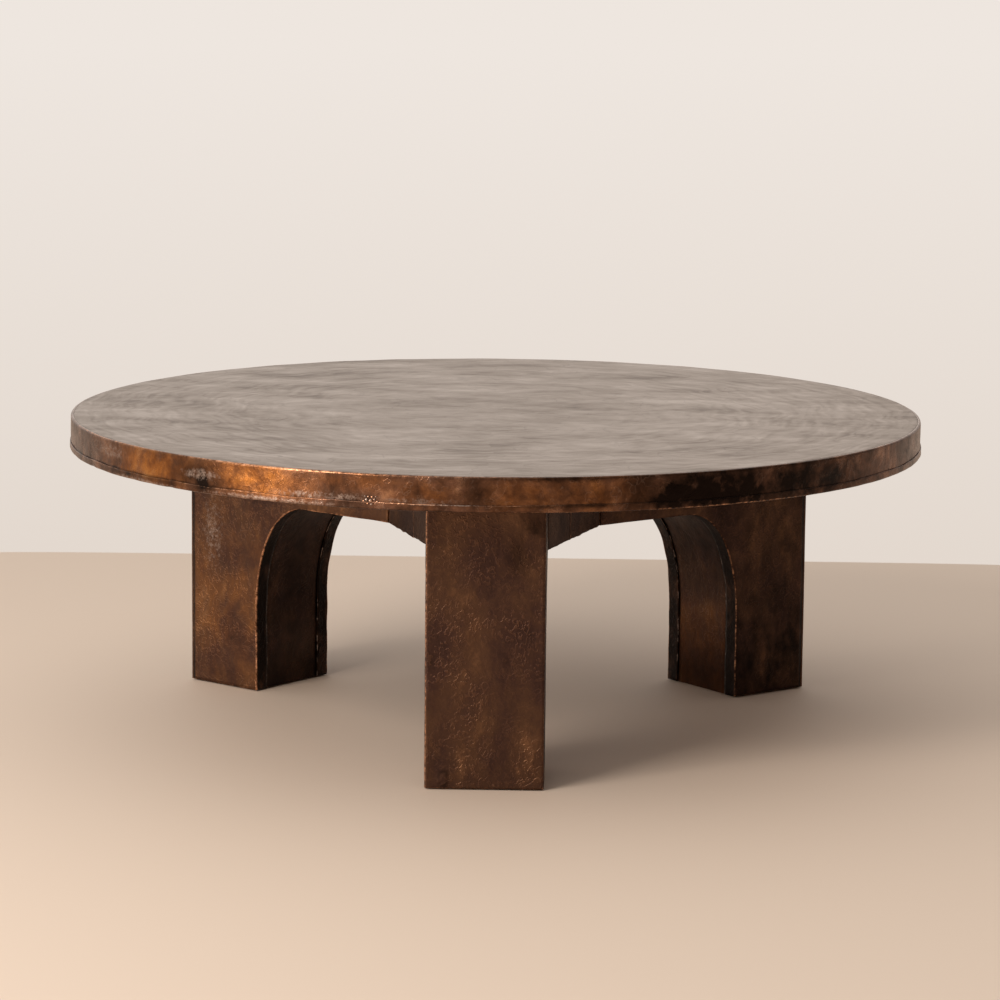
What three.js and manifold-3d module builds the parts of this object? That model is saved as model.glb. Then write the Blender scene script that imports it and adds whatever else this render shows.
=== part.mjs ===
// A low round coffee table: a thick round top and a three-legged base, both of timber clad in sheet copper.
// Millimetres, +Z up. The origin is on the floor under the middle of the top.
// The front leg stands towards -Y.

import * as THREE from 'three';
import { mergeVertices } from 'three/addons/utils/BufferGeometryUtils.js';
import Module from 'manifold-3d';

const wasm = await Module();
wasm.setup();

// ---------------------------------------------------------------- Driving dimensions

const TABLE_HEIGHT = 443;
const TOP_RADIUS = 610; // outside of the rim band
const TOP_THICKNESS = 47;

// How finely round shapes are drawn, as sides of the full circle.
const TOP_SIDES = 96;
const PLATE_SIDES = 48;
const ROD_SIDES = 16;
const SCREW_SIDES = 12;
const HEXAGON_SIDES = 6;
const PAD_CORNER_STEPS = 4; // steps round one corner of a foot pad

const SHEET = 1.5; // thickness of the copper
const GAP = 0.3; // room between pieces that touch
const LAYER = SHEET + GAP;
const END_ROOM = 2 * GAP; // room past the end of a fastener and under a let-in plate
const CUT_OVERSHOOT = 1; // how far a drill or cutter runs out through a face

const RIM_LIP = 4; // how far the rim band folds in over the top of the core
const HEM_HEIGHT = 10; // how far the hem stands up the rim
const HEM_RETURN = 32; // how far the hem runs in under the top

const LEG_WIDTH = 160;
const LEG_DEPTH = 134;
const LEG_DISTANCE = 421; // from the middle of the table to the middle of a leg
const REAR_LEG_BEARING = THREE.MathUtils.degToRad(31); // where a rear leg stands, from the X axis
const REAR_LEG_FACING = THREE.MathUtils.degToRad(37.7); // which way its arm runs, from the X axis

const BEAM_UNDERSIDE = 285; // height of the arms' lower face
const ARCH_REACH = 94; // how far the arch runs in from the leg
const ARCH_RISE = 162; // how far the arch climbs
const ARCH_POWER = 0.94; // 1 makes it a quarter of an ellipse, and less makes its shoulder squarer
const ARCH_STEPS = 14;
const HUB_CORNER_X = 153; // where a gusset meets a rear arm

const OUTER_RETURN = 5; // how far the outer sheet folds back round the leg's corners
const FLANGE = 24; // width of the edge that each side sheet folds over
const FOOT_PAD = { thickness: 2, inset: 15, corner: 6 };

const DOWEL = { radius: 8, spacing: 76, above: 30, below: 30 };
const BOLT = { shank: 5, head: 8.5, headHeight: 6, washer: 12, washerHeight: 2, pocket: 14 };
const LEG_BOLT = { ...BOLT, length: 185 };
const TOP_BOLT = { ...BOLT, grip: 69, bite: 28 };
const TOP_BOLT_POCKET_DEPTH = 40;
const TOP_BOLT_X = -208; // along the arm, from the middle of the leg

const TIE_PLATE = { radius: 76, thickness: 4, centreY: -105 };
const TIE_SCREW = { shank: 2.5, head: 4.5, headHeight: 3, length: 35 };
const TIE_SCREW_PLACES = [
  [-30, -155],
  [30, -155],
  [-50, -100],
  [50, -100],
  [-35, -55],
  [35, -55],
];

// ---------------------------------------------------------------- Heights and places worked out from them

const TOP_UNDERSIDE = TABLE_HEIGHT - TOP_THICKNESS; // the hem's lower face
const CORE_UNDERSIDE = TOP_UNDERSIDE + LAYER;
const BASE_TOP = CORE_UNDERSIDE - GAP;
const SOFFIT_SHEET_LOW = BEAM_UNDERSIDE + LAYER;
const BEAM_LOW = SOFFIT_SHEET_LOW + LAYER;
const LEG_CORE_TOP = BEAM_LOW - GAP;
const SHEET_FOOT = FOOT_PAD.thickness;
const LEG_BOLT_POCKET_DEPTH = LEG_BOLT.headHeight + LEG_BOLT.washerHeight + END_ROOM;

const HALF_WIDTH = LEG_WIDTH / 2;
const HALF_DEPTH = LEG_DEPTH / 2;
const CORE_HALF_WIDTH = HALF_WIDTH - LAYER;
const CORE_FACE = HALF_DEPTH - LAYER;
const ARCH_END = -HALF_DEPTH - ARCH_REACH; // the arm turns flat here, along the leg's own X

// Each leg has its own frame: origin on the floor under its middle, X pointing out of the table,
// Y across the leg.
const rearX = LEG_DISTANCE * Math.cos(REAR_LEG_BEARING);
const rearY = LEG_DISTANCE * Math.sin(REAR_LEG_BEARING);
const LEGS = {
  front: { x: 0, y: -LEG_DISTANCE, turn: -Math.PI / 2 },
  left: { x: -rearX, y: rearY, turn: Math.PI - REAR_LEG_FACING },
  right: { x: rearX, y: rearY, turn: REAR_LEG_FACING },
};

// Y of the line that runs beside the right-hand arm, on its front side, at a distance from the arm's axis.
function nearSideY(x, distance) {
  return rearY + (x - rearX) * Math.tan(REAR_LEG_FACING) - distance / Math.cos(REAR_LEG_FACING);
}

// The same line on the arm's back side.
function farSideY(x, distance) {
  return nearSideY(x, -distance);
}

function toLegFrame(leg, x, y) {
  const dx = x - leg.x;
  const dy = y - leg.y;
  const c = Math.cos(leg.turn);
  const s = Math.sin(leg.turn);
  return [dx * c + dy * s, dy * c - dx * s];
}

function fromLegFrame(leg, x, y) {
  return [
    leg.x + x * Math.cos(leg.turn) - y * Math.sin(leg.turn),
    leg.y + x * Math.sin(leg.turn) + y * Math.cos(leg.turn),
  ];
}

const FLARE_START = fromLegFrame(LEGS.front, ARCH_END, HALF_WIDTH); // right-hand side of the front arm
const HUB_CORNER = [HUB_CORNER_X, nearSideY(HUB_CORNER_X, HALF_WIDTH)];
const REAR_CORNER = [0, farSideY(0, HALF_WIDTH)];

// ---------------------------------------------------------------- Solids, cuts and joins

function toManifold(geometry) {
  const bare = geometry.clone();
  bare.deleteAttribute('normal');
  bare.deleteAttribute('uv');
  const merged = mergeVertices(bare);
  const mesh = new wasm.Mesh({
    numProp: 3,
    vertProperties: new Float32Array(merged.attributes.position.array),
    triVerts: new Uint32Array(merged.index.array),
  });
  return new wasm.Manifold(mesh);
}

function toGeometry(manifold) {
  const mesh = manifold.getMesh();
  const geometry = new THREE.BufferGeometry();
  geometry.setAttribute('position', new THREE.BufferAttribute(mesh.vertProperties, 3));
  geometry.setIndex(new THREE.BufferAttribute(mesh.triVerts, 1));
  geometry.computeVertexNormals();
  return geometry;
}

function join(first, ...others) {
  return toGeometry(others.reduce((whole, piece) => whole.add(toManifold(piece)), toManifold(first)));
}

function cut(first, ...tools) {
  return toGeometry(tools.reduce((whole, tool) => whole.subtract(toManifold(tool)), toManifold(first)));
}

function shapeOf(outline) {
  return new THREE.Shape(outline.map(([x, y]) => new THREE.Vector2(x, y)));
}

// A plan outline raised from one height to another.
function raised(outline, low, high) {
  const geometry = new THREE.ExtrudeGeometry(shapeOf(outline), { depth: high - low, bevelEnabled: false });
  return geometry.translate(0, 0, low);
}

// An outline drawn in X and Z, spread along Y from one side to the other.
function spread(outline, from, to) {
  const geometry = new THREE.ExtrudeGeometry(shapeOf(outline), { depth: to - from, bevelEnabled: false });
  return geometry.rotateX(Math.PI / 2).translate(0, to, 0);
}

function rod(radius, low, high, sides = ROD_SIDES) {
  const geometry = new THREE.CylinderGeometry(radius, radius, high - low, sides);
  return geometry.rotateX(Math.PI / 2).translate(0, 0, (low + high) / 2);
}

function block(x0, x1, y0, y1, z0, z1) {
  const geometry = new THREE.BoxGeometry(x1 - x0, y1 - y0, z1 - z0);
  return geometry.translate((x0 + x1) / 2, (y0 + y1) / 2, (z0 + z1) / 2);
}

// A closed ring turned around the Z axis from its section in radius and height.
function turned(section) {
  const closed = [...section, section[0]].map(([radius, height]) => new THREE.Vector2(radius, height));
  return new THREE.LatheGeometry(closed, TOP_SIDES).rotateX(Math.PI / 2);
}

// The path moved sideways to its left, with sharp corners kept sharp.
function offsetPath(path, distance) {
  const normals = path.slice(1).map(([x, y], i) => {
    const length = Math.hypot(x - path[i][0], y - path[i][1]);
    return [-(y - path[i][1]) / length, (x - path[i][0]) / length];
  });
  return path.map(([x, y], i) => {
    const before = normals[Math.max(i - 1, 0)];
    const after = normals[Math.min(i, normals.length - 1)];
    const scale = distance / (1 + before[0] * after[0] + before[1] * after[1]);
    return [x + (before[0] + after[0]) * scale, y + (before[1] + after[1]) * scale];
  });
}

// The band between two depths on the left of a path.
function band(path, shallow, deep) {
  return [...offsetPath(path, shallow), ...offsetPath(path, deep).reverse()];
}

const assembly = new THREE.Group();

const FINISHES = {
  patina_copper: { color: 0x6b5446, roughness: 0.42, metalness: 0.85 },
  rim_copper: { color: 0x7a4526, roughness: 0.38, metalness: 0.85 },
  leg_copper: { color: 0x4a3024, roughness: 0.45, metalness: 0.85 },
  timber: { color: 0x8a6a48, roughness: 0.8, metalness: 0 },
  steel: { color: 0x9a9ca0, roughness: 0.4, metalness: 0.9 },
  felt: { color: 0x2b2622, roughness: 0.95, metalness: 0 },
};

function add(name, geometry, finish, parent = assembly) {
  const mesh = new THREE.Mesh(geometry, new THREE.MeshStandardMaterial(FINISHES[finish]));
  mesh.name = name;
  parent.add(mesh);
  return mesh;
}

// ---------------------------------------------------------------- The round top

function addTop() {
  const bolts = Object.values(LEGS).map((leg) => fromLegFrame(leg, TOP_BOLT_X, 0));
  const holes = bolts.map(([x, y]) => {
    const holeTop = CORE_UNDERSIDE + TOP_BOLT.bite + END_ROOM;
    return rod(TOP_BOLT.shank + GAP, CORE_UNDERSIDE - CUT_OVERSHOOT, holeTop).translate(x, y, 0);
  });
  const coreRadius = TOP_RADIUS - LAYER;
  const coreTop = TABLE_HEIGHT - LAYER;
  add('top_core', cut(rod(coreRadius, CORE_UNDERSIDE, coreTop, TOP_SIDES), ...holes), 'timber');
  const sheetRadius = TOP_RADIUS - RIM_LIP - GAP;
  add('top_sheet', rod(sheetRadius, coreTop + GAP, TABLE_HEIGHT, TOP_SIDES), 'patina_copper');

  const rimSection = [
    [TOP_RADIUS - SHEET, CORE_UNDERSIDE],
    [TOP_RADIUS, CORE_UNDERSIDE],
    [TOP_RADIUS, TABLE_HEIGHT],
    [TOP_RADIUS - RIM_LIP, TABLE_HEIGHT],
    [TOP_RADIUS - RIM_LIP, TABLE_HEIGHT - SHEET],
    [TOP_RADIUS - SHEET, TABLE_HEIGHT - SHEET],
  ];
  add('rim_band', turned(rimSection), 'rim_copper');

  const hemInside = TOP_RADIUS + GAP;
  const hemOutside = hemInside + SHEET;
  const hemSection = [
    [TOP_RADIUS - HEM_RETURN, TOP_UNDERSIDE],
    [hemOutside, TOP_UNDERSIDE],
    [hemOutside, TOP_UNDERSIDE + HEM_HEIGHT],
    [hemInside, TOP_UNDERSIDE + HEM_HEIGHT],
    [hemInside, TOP_UNDERSIDE + SHEET],
    [TOP_RADIUS - HEM_RETURN, TOP_UNDERSIDE + SHEET],
  ];
  add('rim_hem', turned(hemSection), 'rim_copper');
}

// ---------------------------------------------------------------- Legs and arms

// The inner face of a leg and the lower face of its arm: up the leg, round the arch and in along the arm.
function archPath(footHeight, endX) {
  const path = [[-HALF_DEPTH, footHeight]];
  for (let i = 0; i <= ARCH_STEPS; i += 1) {
    const angle = ((Math.PI / 2) * i) / ARCH_STEPS;
    const x = ARCH_END + ARCH_REACH * Math.max(Math.cos(angle), 0) ** ARCH_POWER;
    const z = BEAM_UNDERSIDE - ARCH_RISE + ARCH_RISE * Math.sin(angle) ** ARCH_POWER;
    path.push([x, z]);
  }
  if (endX < ARCH_END) path.push([endX, BEAM_UNDERSIDE]);
  return path;
}

// The outer sheet covers the leg's outer face and folds back round both corners.
function outerSheet() {
  const face = block(HALF_DEPTH - SHEET, HALF_DEPTH, -HALF_WIDTH, HALF_WIDTH, SHEET_FOOT, BASE_TOP);
  const returns = [HALF_WIDTH - SHEET, -HALF_WIDTH].map((y) => {
    return block(HALF_DEPTH - OUTER_RETURN, HALF_DEPTH, y, y + SHEET, SHEET_FOOT, BASE_TOP);
  });
  return join(face, ...returns);
}

// A side sheet covers the leg's side and the arm's side, and folds over the edge of the arch.
function sideSheet(side, endX) {
  const path = archPath(SHEET_FOOT, endX);
  const front = HALF_DEPTH - OUTER_RETURN - GAP;
  const plateOutline = [[front, SHEET_FOOT], ...path, [path.at(-1)[0], BASE_TOP], [front, BASE_TOP]];
  const faces = [side * HALF_WIDTH, side * (HALF_WIDTH - SHEET)].sort((a, b) => a - b);
  const flangeFaces = [side * HALF_WIDTH, side * (HALF_WIDTH - FLANGE)].sort((a, b) => a - b);
  const plate = spread(plateOutline, ...faces);
  const flange = spread(band(path, 0, -SHEET), ...flangeFaces);
  return join(plate, flange);
}

// The arch sheet lines the leg's inner face and the arch, between and behind the two folded edges.
function archSheet() {
  const path = archPath(SHEET_FOOT, ARCH_END).slice(0, -1);
  path.push([ARCH_END + GAP, BEAM_UNDERSIDE]);
  return spread(band(path, -LAYER, -LAYER - SHEET), -CORE_HALF_WIDTH, CORE_HALF_WIDTH);
}

// The post with its arched shoulder, under the arm.
function legCore() {
  const footHeight = SHEET_FOOT + GAP;
  const behindSheets = offsetPath(archPath(footHeight, ARCH_END), -2 * LAYER);
  const face = behindSheets.filter(([, z]) => z < LEG_CORE_TOP - SHEET);
  const shoulder = [face.at(-1)[0], LEG_CORE_TOP];
  const outline = [[CORE_FACE, footHeight], ...face, shoulder, [CORE_FACE, LEG_CORE_TOP]];
  const post = spread(outline, -CORE_HALF_WIDTH, CORE_HALF_WIDTH);
  const boltFoot = BASE_TOP - LEG_BOLT.length;
  const boltHole = rod(LEG_BOLT.shank + GAP, boltFoot - END_ROOM, LEG_CORE_TOP + CUT_OVERSHOOT);
  return cut(post, boltHole, ...dowelRods(GAP, LEG_CORE_TOP + CUT_OVERSHOOT));
}

function dowelRods(clearance, top) {
  const low = BEAM_LOW - DOWEL.below - clearance;
  const dowel = (x) => rod(DOWEL.radius + clearance, low, top).translate(x, 0, 0);
  return [dowel(-DOWEL.spacing / 2), dowel(DOWEL.spacing / 2)];
}

// A hexagon-headed bolt with its washer, head down, with the washer's upper face at height 0.
function bolt(sizes, reach) {
  const washer = rod(sizes.washer, -sizes.washerHeight, 0);
  const headLow = -sizes.washerHeight - sizes.headHeight;
  const head = rod(sizes.head, headLow, -sizes.washerHeight / 2, HEXAGON_SIDES);
  const shank = rod(sizes.shank, -sizes.washerHeight / 2, reach);
  return join(washer, head, shank);
}

function armCuts(leg) {
  const low = BEAM_LOW - CUT_OVERSHOOT;
  const high = BASE_TOP + CUT_OVERSHOOT;
  const topBolt = rod(TOP_BOLT.shank + GAP, low, high).translate(TOP_BOLT_X, 0, 0);
  const pocketTop = BEAM_LOW + TOP_BOLT_POCKET_DEPTH;
  const topBoltPocket = rod(TOP_BOLT.pocket, low, pocketTop).translate(TOP_BOLT_X, 0, 0);
  const legBolt = rod(LEG_BOLT.shank + GAP, low, high);
  const legBoltPocket = rod(LEG_BOLT.pocket, BASE_TOP - LEG_BOLT_POCKET_DEPTH, high);
  const dowels = dowelRods(GAP, BEAM_LOW + DOWEL.above + GAP);
  const [plateX, plateY] = toLegFrame(leg, 0, TIE_PLATE.centreY);
  const plateLow = BASE_TOP - TIE_PLATE.thickness - END_ROOM;
  const recess = rod(TIE_PLATE.radius + GAP, plateLow, high, PLATE_SIDES).translate(plateX, plateY, 0);
  const pilots = TIE_SCREW_PLACES.map(([x, y]) => {
    const [localX, localY] = toLegFrame(leg, x, y);
    const foot = BASE_TOP - TIE_SCREW.length - END_ROOM;
    return rod(TIE_SCREW.shank + GAP, foot, BASE_TOP, SCREW_SIDES).translate(localX, localY, 0);
  });
  return [topBolt, topBoltPocket, legBolt, legBoltPocket, ...dowels, recess, ...pilots];
}

// The rear arms meet each other on the table's middle plane, with a mitre.
function rearBeamOutline(leg) {
  const side = Math.sign(leg.x);
  const endAt = (y) => [((side * GAP) / 2 - leg.x + y * Math.sin(leg.turn)) / Math.cos(leg.turn), y];
  const w = CORE_HALF_WIDTH;
  return [[CORE_FACE, -w], [CORE_FACE, w], endAt(w), endAt(-w)];
}

// The front arm is notched to fit against both rear arms.
function frontBeamOutline(leg) {
  const w = CORE_HALF_WIDTH;
  const endAt = (x) => toLegFrame(leg, x, nearSideY(Math.abs(x), CORE_HALF_WIDTH + GAP));
  return [[CORE_FACE, -w], [CORE_FACE, w], endAt(w), endAt(0), endAt(-w)];
}

function addLeg(name) {
  const leg = LEGS[name];
  const group = new THREE.Group();
  group.position.set(leg.x, leg.y, 0);
  group.rotation.z = leg.turn;
  assembly.add(group);

  const isFront = name === 'front';
  const beamOutline = isFront ? frontBeamOutline(leg) : rearBeamOutline(leg);
  add(`${name}_arm_core`, cut(raised(beamOutline, BEAM_LOW, BASE_TOP), ...armCuts(leg)), 'timber', group);
  add(`${name}_leg_core`, legCore(), 'timber', group);

  add(`${name}_outer_sheet`, outerSheet(), 'leg_copper', group);
  add(`${name}_arch_sheet`, archSheet(), 'leg_copper', group);

  const nearCorner = [Math.sign(leg.x) * HUB_CORNER[0], HUB_CORNER[1]];
  const nearEnd = isFront ? ARCH_END : toLegFrame(leg, ...nearCorner)[0] + GAP;
  const farEnd = isFront ? ARCH_END : toLegFrame(leg, ...REAR_CORNER)[0] + GAP;
  const nearSide = name === 'left' ? 1 : -1;
  const sideNames = isFront ? ['left', 'right'] : ['near', 'far'];
  add(`${name}_side_sheet_${sideNames[0]}`, sideSheet(nearSide, nearEnd), 'leg_copper', group);
  add(`${name}_side_sheet_${sideNames[1]}`, sideSheet(-nearSide, farEnd), 'leg_copper', group);

  add(`${name}_foot_pad`, footPad(), 'felt', group);
  addFasteners(name, group);
}

function addFasteners(name, group) {
  const dowelLow = BEAM_LOW - DOWEL.below;
  ['outer', 'inner'].forEach((place, i) => {
    const dowel = rod(DOWEL.radius, dowelLow, BEAM_LOW + DOWEL.above);
    const mesh = add(`${name}_dowel_${place}`, dowel, 'timber', group);
    mesh.position.x = ((1 - 2 * i) * DOWEL.spacing) / 2;
  });

  const legBoltReach = LEG_BOLT.length - LEG_BOLT_POCKET_DEPTH;
  const legBolt = add(`${name}_leg_bolt`, bolt(LEG_BOLT, legBoltReach), 'steel', group);
  legBolt.rotation.x = Math.PI;
  legBolt.position.z = BASE_TOP - LEG_BOLT_POCKET_DEPTH + GAP;

  const topBolt = add(`${name}_top_bolt`, bolt(TOP_BOLT, TOP_BOLT.grip + TOP_BOLT.bite), 'steel', group);
  topBolt.position.set(TOP_BOLT_X, 0, BEAM_LOW + TOP_BOLT_POCKET_DEPTH - GAP);
}

function footPad() {
  const x = HALF_DEPTH - FOOT_PAD.inset;
  const y = HALF_WIDTH - FOOT_PAD.inset;
  const r = FOOT_PAD.corner;
  const shape = new THREE.Shape();
  shape.absarc(x - r, y - r, r, 0, Math.PI / 2);
  shape.absarc(r - x, y - r, r, Math.PI / 2, Math.PI);
  shape.absarc(r - x, r - y, r, Math.PI, 1.5 * Math.PI);
  shape.absarc(x - r, r - y, r, 1.5 * Math.PI, 2 * Math.PI);
  return new THREE.ExtrudeGeometry(shape, {
    depth: FOOT_PAD.thickness,
    bevelEnabled: false,
    curveSegments: PAD_CORNER_STEPS,
  });
}

// ---------------------------------------------------------------- The hub where the arms meet

// A wedge of timber fills the flare between the front arm and a rear arm.
function gussetBlock() {
  const flare = offsetPath([FLARE_START, HUB_CORNER], LAYER);
  const slope = (flare[1][0] - flare[0][0]) / (flare[1][1] - flare[0][1]);
  const flareY = (x) => flare[0][1] + (x - flare[0][0]) / slope;
  const inside = CORE_HALF_WIDTH + GAP;
  const tip = inside + 2 * SHEET; // the wedge is blunt where it starts
  const outline = [
    [inside, flareY(tip)],
    [tip, flareY(tip)],
    [flare[1][0] - GAP, flareY(flare[1][0] - GAP)],
    [inside, nearSideY(inside, CORE_HALF_WIDTH + GAP)],
  ];
  return raised(outline, BEAM_LOW, BASE_TOP);
}

// A flat sheet with a folded lower edge covers the gusset. It is drawn along X, with the timber towards +Y.
function gussetSheet(length) {
  const plate = block(GAP, length - GAP, 0, SHEET, BEAM_UNDERSIDE, BASE_TOP);
  const flange = block(GAP, length - GAP, 0, FLANGE, BEAM_UNDERSIDE, BEAM_UNDERSIDE + SHEET);
  return join(plate, flange);
}

// Turns a right-hand piece into the left-hand one.
function mirrored(geometry) {
  const copy = geometry.clone();
  copy.scale(-1, 1, 1);
  const index = copy.index ?? mergeVertices(copy).index;
  const order = Array.from(index.array);
  for (let i = 0; i < order.length; i += 3) [order[i], order[i + 1]] = [order[i + 1], order[i]];
  copy.setIndex(order);
  copy.computeVertexNormals();
  return copy;
}

// One sheet under the hub, from arch sheet to arch sheet.
function soffitSheet() {
  const rightEnd = (y) => fromLegFrame(LEGS.right, ARCH_END, y);
  const nearPath = [FLARE_START, HUB_CORNER, rightEnd(-HALF_WIDTH)];
  const farPath = [rightEnd(HALF_WIDTH), REAR_CORNER];
  const rightSide = [...offsetPath(nearPath, LAYER), ...offsetPath(farPath, LAYER).slice(0, 1)];
  const leftSide = rightSide.map(([x, y]) => [-x, y]).reverse();
  const middle = [0, farSideY(0, CORE_HALF_WIDTH)];
  return raised([...rightSide, middle, ...leftSide], SOFFIT_SHEET_LOW, SOFFIT_SHEET_LOW + SHEET);
}

function addGussets() {
  const dx = HUB_CORNER[0] - FLARE_START[0];
  const dy = HUB_CORNER[1] - FLARE_START[1];
  const sheet = gussetSheet(Math.hypot(dx, dy)).rotateZ(Math.atan2(dy, dx));
  sheet.translate(FLARE_START[0], FLARE_START[1], 0);
  const timber = toGeometry(toManifold(gussetBlock()));
  add('right_gusset_block', timber, 'timber');
  add('left_gusset_block', mirrored(timber), 'timber');
  add('right_gusset_sheet', sheet, 'leg_copper');
  add('left_gusset_sheet', mirrored(sheet), 'leg_copper');
}

// A steel plate let into the arms' upper faces ties them together.
function addTiePlate() {
  const top = BASE_TOP - GAP;
  const low = top - TIE_PLATE.thickness;
  const headSeat = top - TIE_SCREW.headHeight - GAP;
  const holes = TIE_SCREW_PLACES.flatMap(([x, y]) => {
    const local = [x, y - TIE_PLATE.centreY];
    const high = top + CUT_OVERSHOOT;
    const through = rod(TIE_SCREW.shank + GAP, low - CUT_OVERSHOOT, high, SCREW_SIDES).translate(...local, 0);
    const seat = rod(TIE_SCREW.head + GAP, headSeat, high, SCREW_SIDES).translate(...local, 0);
    return [through, seat];
  });
  const plate = add('tie_plate', cut(rod(TIE_PLATE.radius, low, top, PLATE_SIDES), ...holes), 'steel');
  plate.position.y = TIE_PLATE.centreY;

  TIE_SCREW_PLACES.forEach(([x, y], i) => {
    const head = rod(TIE_SCREW.head, top - TIE_SCREW.headHeight, top, SCREW_SIDES);
    const shankTop = top - TIE_SCREW.headHeight / 2;
    const shank = rod(TIE_SCREW.shank, top - TIE_SCREW.length, shankTop, SCREW_SIDES);
    const screw = add(`tie_screw_${i + 1}`, join(head, shank), 'steel');
    screw.position.set(x, y, 0);
  });
}

addTop();
Object.keys(LEGS).forEach(addLeg);
addGussets();
add('hub_soffit_sheet', soffitSheet(), 'leg_copper');
addTiePlate();

export default assembly;
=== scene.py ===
# %% [markdown]
# # A round coffee table clad in aged sheet copper
# The table is timber inside and copper outside. The timber, bolts and pads come from the fixed CAD frame.
# The copper is rebuilt here as sheet-metal work: each sheet is cut flat, folded at its edges and dressed by
# hand, so its folds are round, its faces are gently uneven and its raised edges are worn bright.
# Everything is in metres once finished. Sheets are drawn in millimetres, because that is how they are cut.

# %% load the frame
from math import atan2, copysign, cos, degrees, exp, hypot, pi, radians, sin

import bmesh
import bpy
from mathutils import Matrix, Vector, noise


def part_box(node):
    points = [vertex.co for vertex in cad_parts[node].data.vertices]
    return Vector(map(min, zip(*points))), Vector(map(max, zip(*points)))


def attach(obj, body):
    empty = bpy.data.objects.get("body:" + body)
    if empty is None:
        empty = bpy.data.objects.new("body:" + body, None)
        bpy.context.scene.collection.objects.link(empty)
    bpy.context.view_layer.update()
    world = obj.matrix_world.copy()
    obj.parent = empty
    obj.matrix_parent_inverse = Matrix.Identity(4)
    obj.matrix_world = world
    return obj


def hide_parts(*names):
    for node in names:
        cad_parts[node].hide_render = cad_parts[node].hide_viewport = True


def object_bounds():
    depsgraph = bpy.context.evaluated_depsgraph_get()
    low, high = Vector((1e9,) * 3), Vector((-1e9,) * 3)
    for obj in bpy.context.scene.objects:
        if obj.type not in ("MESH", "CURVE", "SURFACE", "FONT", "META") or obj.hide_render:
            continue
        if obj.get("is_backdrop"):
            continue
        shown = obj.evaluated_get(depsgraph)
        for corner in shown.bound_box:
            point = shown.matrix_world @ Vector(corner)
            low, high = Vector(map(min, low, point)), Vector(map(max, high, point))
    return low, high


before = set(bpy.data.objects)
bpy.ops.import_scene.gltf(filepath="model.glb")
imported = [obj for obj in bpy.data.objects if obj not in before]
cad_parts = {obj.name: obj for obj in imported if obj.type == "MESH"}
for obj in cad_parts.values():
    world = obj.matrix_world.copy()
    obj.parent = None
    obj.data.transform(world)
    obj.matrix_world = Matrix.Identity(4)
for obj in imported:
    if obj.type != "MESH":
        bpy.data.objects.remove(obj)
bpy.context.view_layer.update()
MM = 0.001
print("nodes in the frame:", len(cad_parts))

# %% [markdown]
# ## The camera
# The table is seen from a little above its top and from far away, with a long lens, so its circles look like
# flat ellipses. The lens, place and tilt of a camera fix the picture's perspective completely, so the camera
# is made first and every later decision about a shape or a finish is judged through it.

# %% camera
LENS_MM, SENSOR_MM = 137.0, 36
lens = bpy.data.cameras.new("long_lens")
lens.lens, lens.sensor_width = LENS_MM, SENSOR_MM
camera = bpy.data.objects.new("camera", lens)
bpy.context.scene.collection.objects.link(camera)
CAMERA_PLACE = (0.1306, -5.4398, 1.2069)
CAMERA_TURN, CAMERA_DIP, CAMERA_ROLL = 0.0227, 0.1628, 0.0092
camera.matrix_world = (
    Matrix.Translation(CAMERA_PLACE)
    @ Matrix.Rotation(CAMERA_TURN, 4, "Z")
    @ Matrix.Rotation(pi / 2 - CAMERA_DIP, 4, "X")
    @ Matrix.Rotation(CAMERA_ROLL, 4, "Z")
)
bpy.context.scene.camera = camera
print("camera looks down by", round(degrees(CAMERA_DIP), 1), "degrees")

# %% [markdown]
# ## Colours and nodes
# Finishes are built from shader nodes. Three helpers keep that readable: one turns a colour written in hex,
# as a paint chart gives it, to the linear numbers that a renderer adds up; one starts a finish with no nodes
# in it; and one adds a node, sets its values and plugs in its links in one call.

# %% colour helper
def linear(chart):
    channels = [int(chart[i:i + 2], 16) / 255 for i in (1, 3, 5)]
    return [c / 12.92 if c <= 0.04045 else ((c + 0.055) / 1.055) ** 2.4 for c in channels] + [1.0]


# %% empty finish
def empty_finish(name):
    made = bpy.data.materials.new(name)
    made.use_nodes = True
    made.node_tree.nodes.clear()
    return made, made.node_tree


# %% node helper
def node(tree, kind, values=None, links=None, stops=None, **settings):
    made = tree.nodes.new("ShaderNode" + kind)
    for name, value in settings.items():
        setattr(made, name, value)
    for name, value in (values or {}).items():
        made.inputs[name].default_value = value
    for name, source in (links or {}).items():
        tree.links.new(source, made.inputs[name])
    for i, (place, chart) in enumerate(stops or []):
        ramp = made.color_ramp.elements
        stop = ramp[i] if i < 2 else ramp.new(place)
        stop.position, stop.color = place, linear(chart)
    return made


# %% [markdown]
# ## Aged copper
# Copper darkens by growing an oxide skin. Where it was heated or waxed the skin is orange to purple brown,
# where it was treated with liver of sulphur it is near black, and where hands or a cloth rub it the bare
# metal shows again. It could be one flat brown, but then it would look like paint. So one recipe makes all
# three copper finishes: clouds of tone over a metallic base, thin raised veins left by the hammer, patches
# of torch colour, soot and pale bloom, grime beside seams, and bare metal on the folds. The soot and grime
# layers also carry painted shade, the bloom layer painted reflection and highlight, and the wear layer a
# painted highlight on a few edges. Where a patch lies is painted on the sheet's own points, as a number for
# each layer, and the finish only reads those numbers.

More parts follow.
